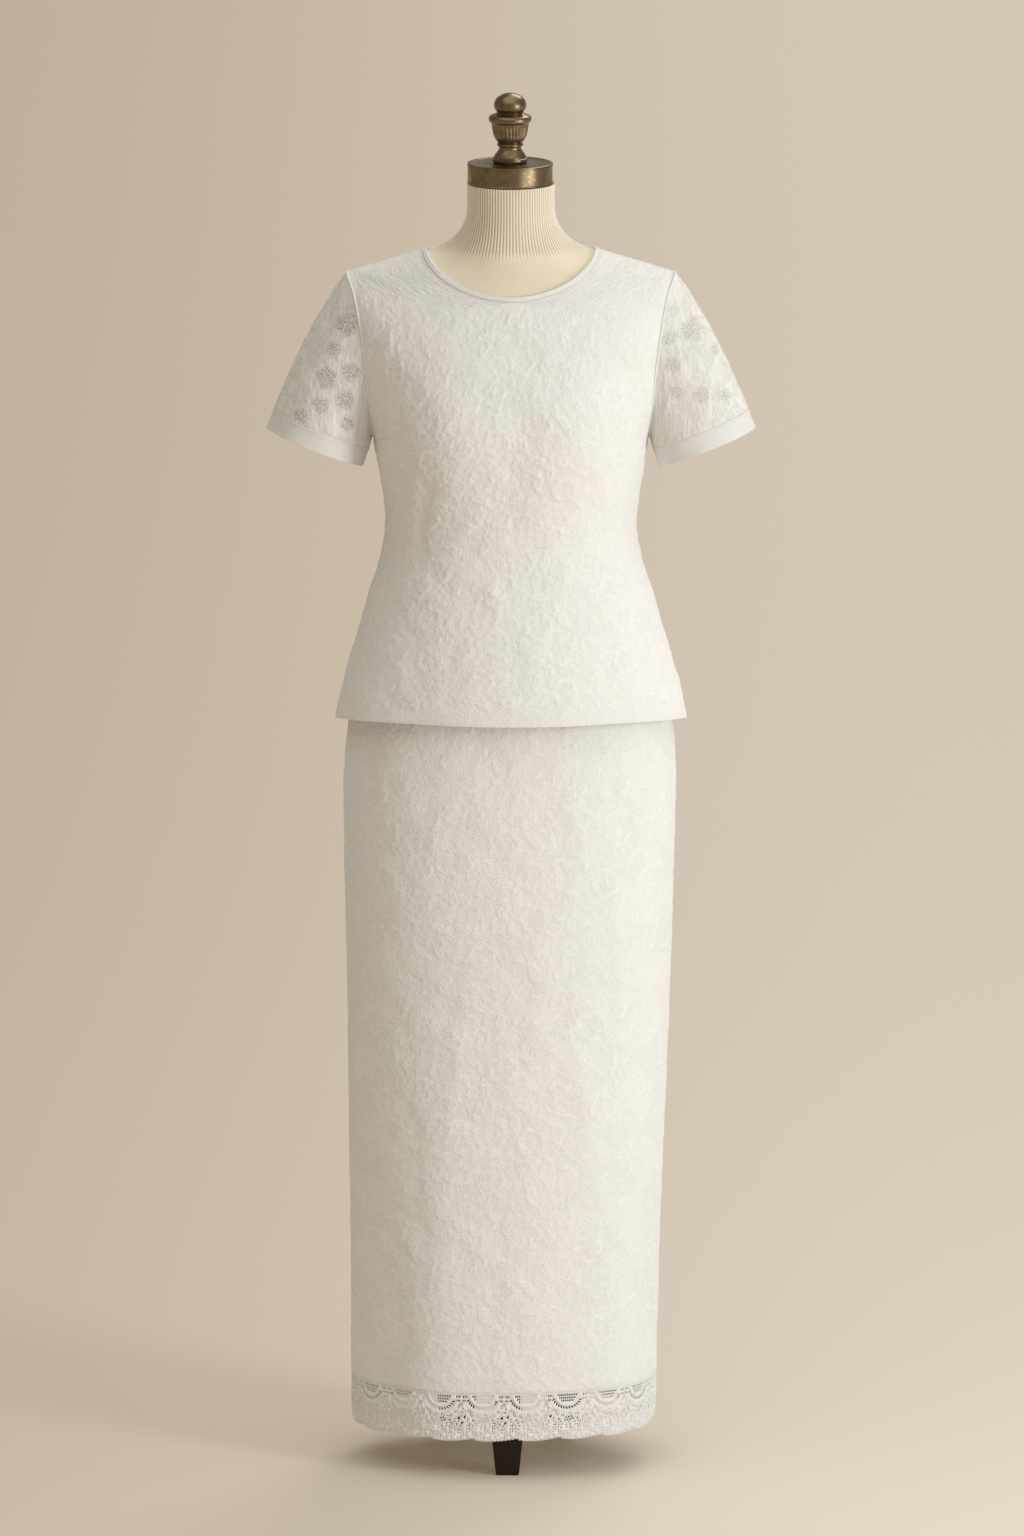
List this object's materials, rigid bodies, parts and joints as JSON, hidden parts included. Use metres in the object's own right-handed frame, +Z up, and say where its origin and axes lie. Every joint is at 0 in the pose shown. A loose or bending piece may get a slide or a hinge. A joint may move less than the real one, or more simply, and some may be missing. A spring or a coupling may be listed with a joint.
{
  "type": "puletasi, lace tunic and long skirt on a limbless dress form",
  "caption": "White lace puletasi, a short-sleeved flared tunic over a long straight skirt with a scalloped lace border, on a limbless dress form with a stand.",
  "frame": {"origin": "on the floor, under the centre of the object's bounding box", "axes": "+Z up the form's pole, -Y out of the front, +X to the viewer's right"},
  "size_m": [0.575, 0.3098, 1.6368],
  "materials": {
    "lace_cloth": "raised all-over floral lace, warm white, matt",
    "binding_cloth": "plain woven binding, warm white",
    "sheer_lace": "thin see-through floral lace, warm white",
    "sleeve_band": "plain turned hem, warm white",
    "elastic": "gathered cloth over elastic, warm white",
    "border_lace": "open scalloped lace, warm white",
    "form_jersey": "cream ribbed jersey",
    "aged_brass": "dark antique brass",
    "pole_metal": "dark bronzed steel tube",
    "stand_wood": "near-black stained wood, satin"
  },
  "bodies": {
    "root": {"top_front": "lace_cloth", "top_back": "lace_cloth", "neck_binding": "binding_cloth", "sleeve_left": "sheer_lace", "sleeve_right": "sheer_lace", "sleeve_band_left": "sleeve_band", "sleeve_band_right": "sleeve_band", "skirt_waistband": "elastic", "skirt_front": "lace_cloth", "skirt_back": "lace_cloth", "lace_border_front": "border_lace", "lace_border_back": "border_lace", "form_torso": "form_jersey", "neck_cap": "aged_brass", "finial": "aged_brass", "pole": "pole_metal", "hub": "stand_wood", "leg_front": "stand_wood", "leg_left": "stand_wood", "leg_right": "stand_wood"}
  },
  "joints": []
}
